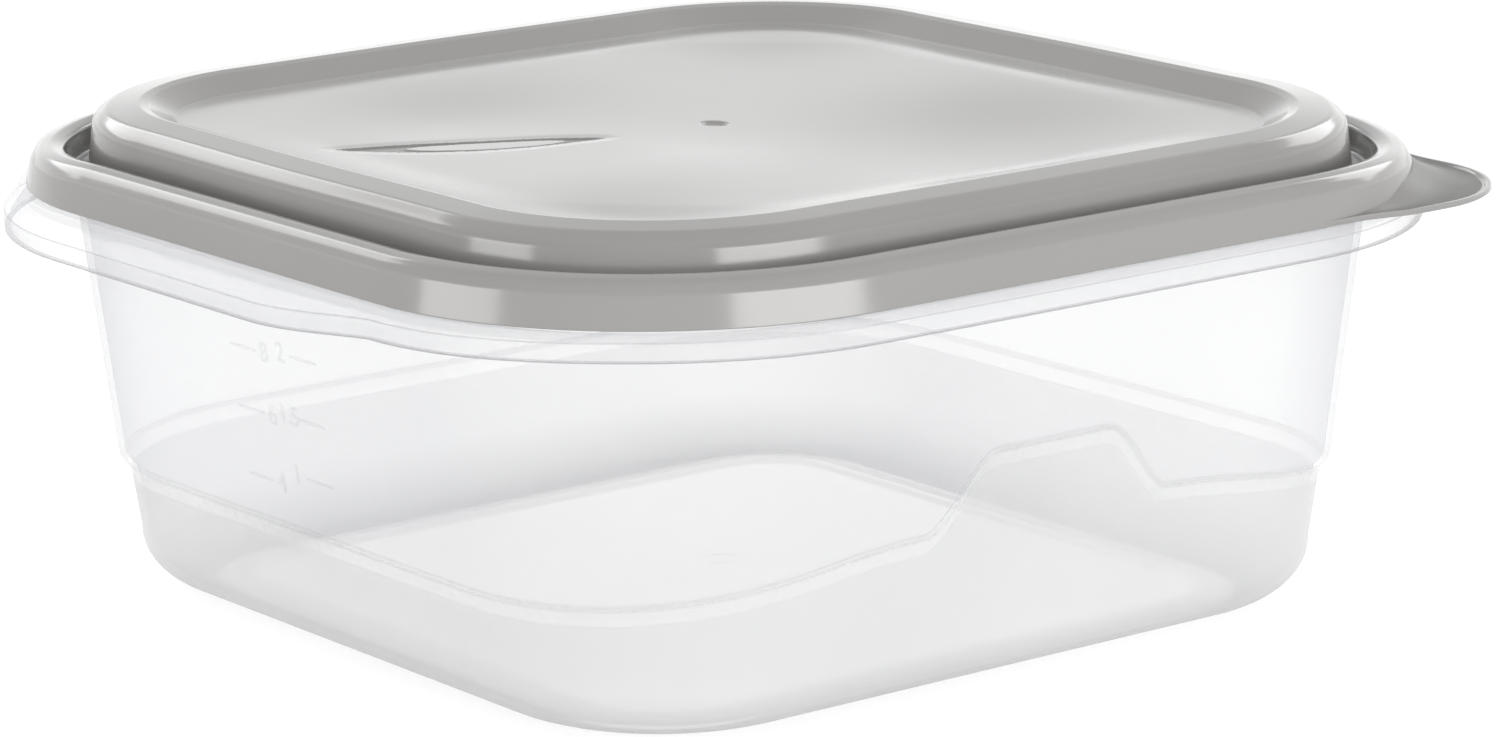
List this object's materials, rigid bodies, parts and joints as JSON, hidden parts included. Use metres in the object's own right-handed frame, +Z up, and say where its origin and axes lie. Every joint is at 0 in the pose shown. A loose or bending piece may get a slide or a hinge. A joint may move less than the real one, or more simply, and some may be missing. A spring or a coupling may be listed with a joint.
{
  "type": "snap lid food container",
  "caption": "Square food storage tub in clear plastic with a rounded heel, matt lower band and thumb lip, closed by a stiff grey snap lid that lifts off by a corner pull tab.",
  "frame": {"origin": "middle of the tub's base, on the surface the container stands on", "axes": "+Z up; -Y out of the wall with the matt tongue; -X out of the wall with the measuring marks; the lid's pull tab is at the +X -Y corner"},
  "size_m": [0.2299, 0.2299, 0.0948],
  "materials": {
    "clear_polypropylene": "milky clear moulded plastic, polished above the shoulder and finely matt below it",
    "grey_polypropylene": "opaque warm light grey, smooth glossy moulding"
  },
  "bodies": {
    "tub_body": {"tub": "clear_polypropylene"},
    "lid_body": {"lid": "grey_polypropylene"}
  },
  "joints": [
    {"name": "lid_lift", "type": "slide", "parent": "tub_body", "child": "lid_body", "axis": [0, 0, 1], "range_m": [0, 0.12]}
  ]
}
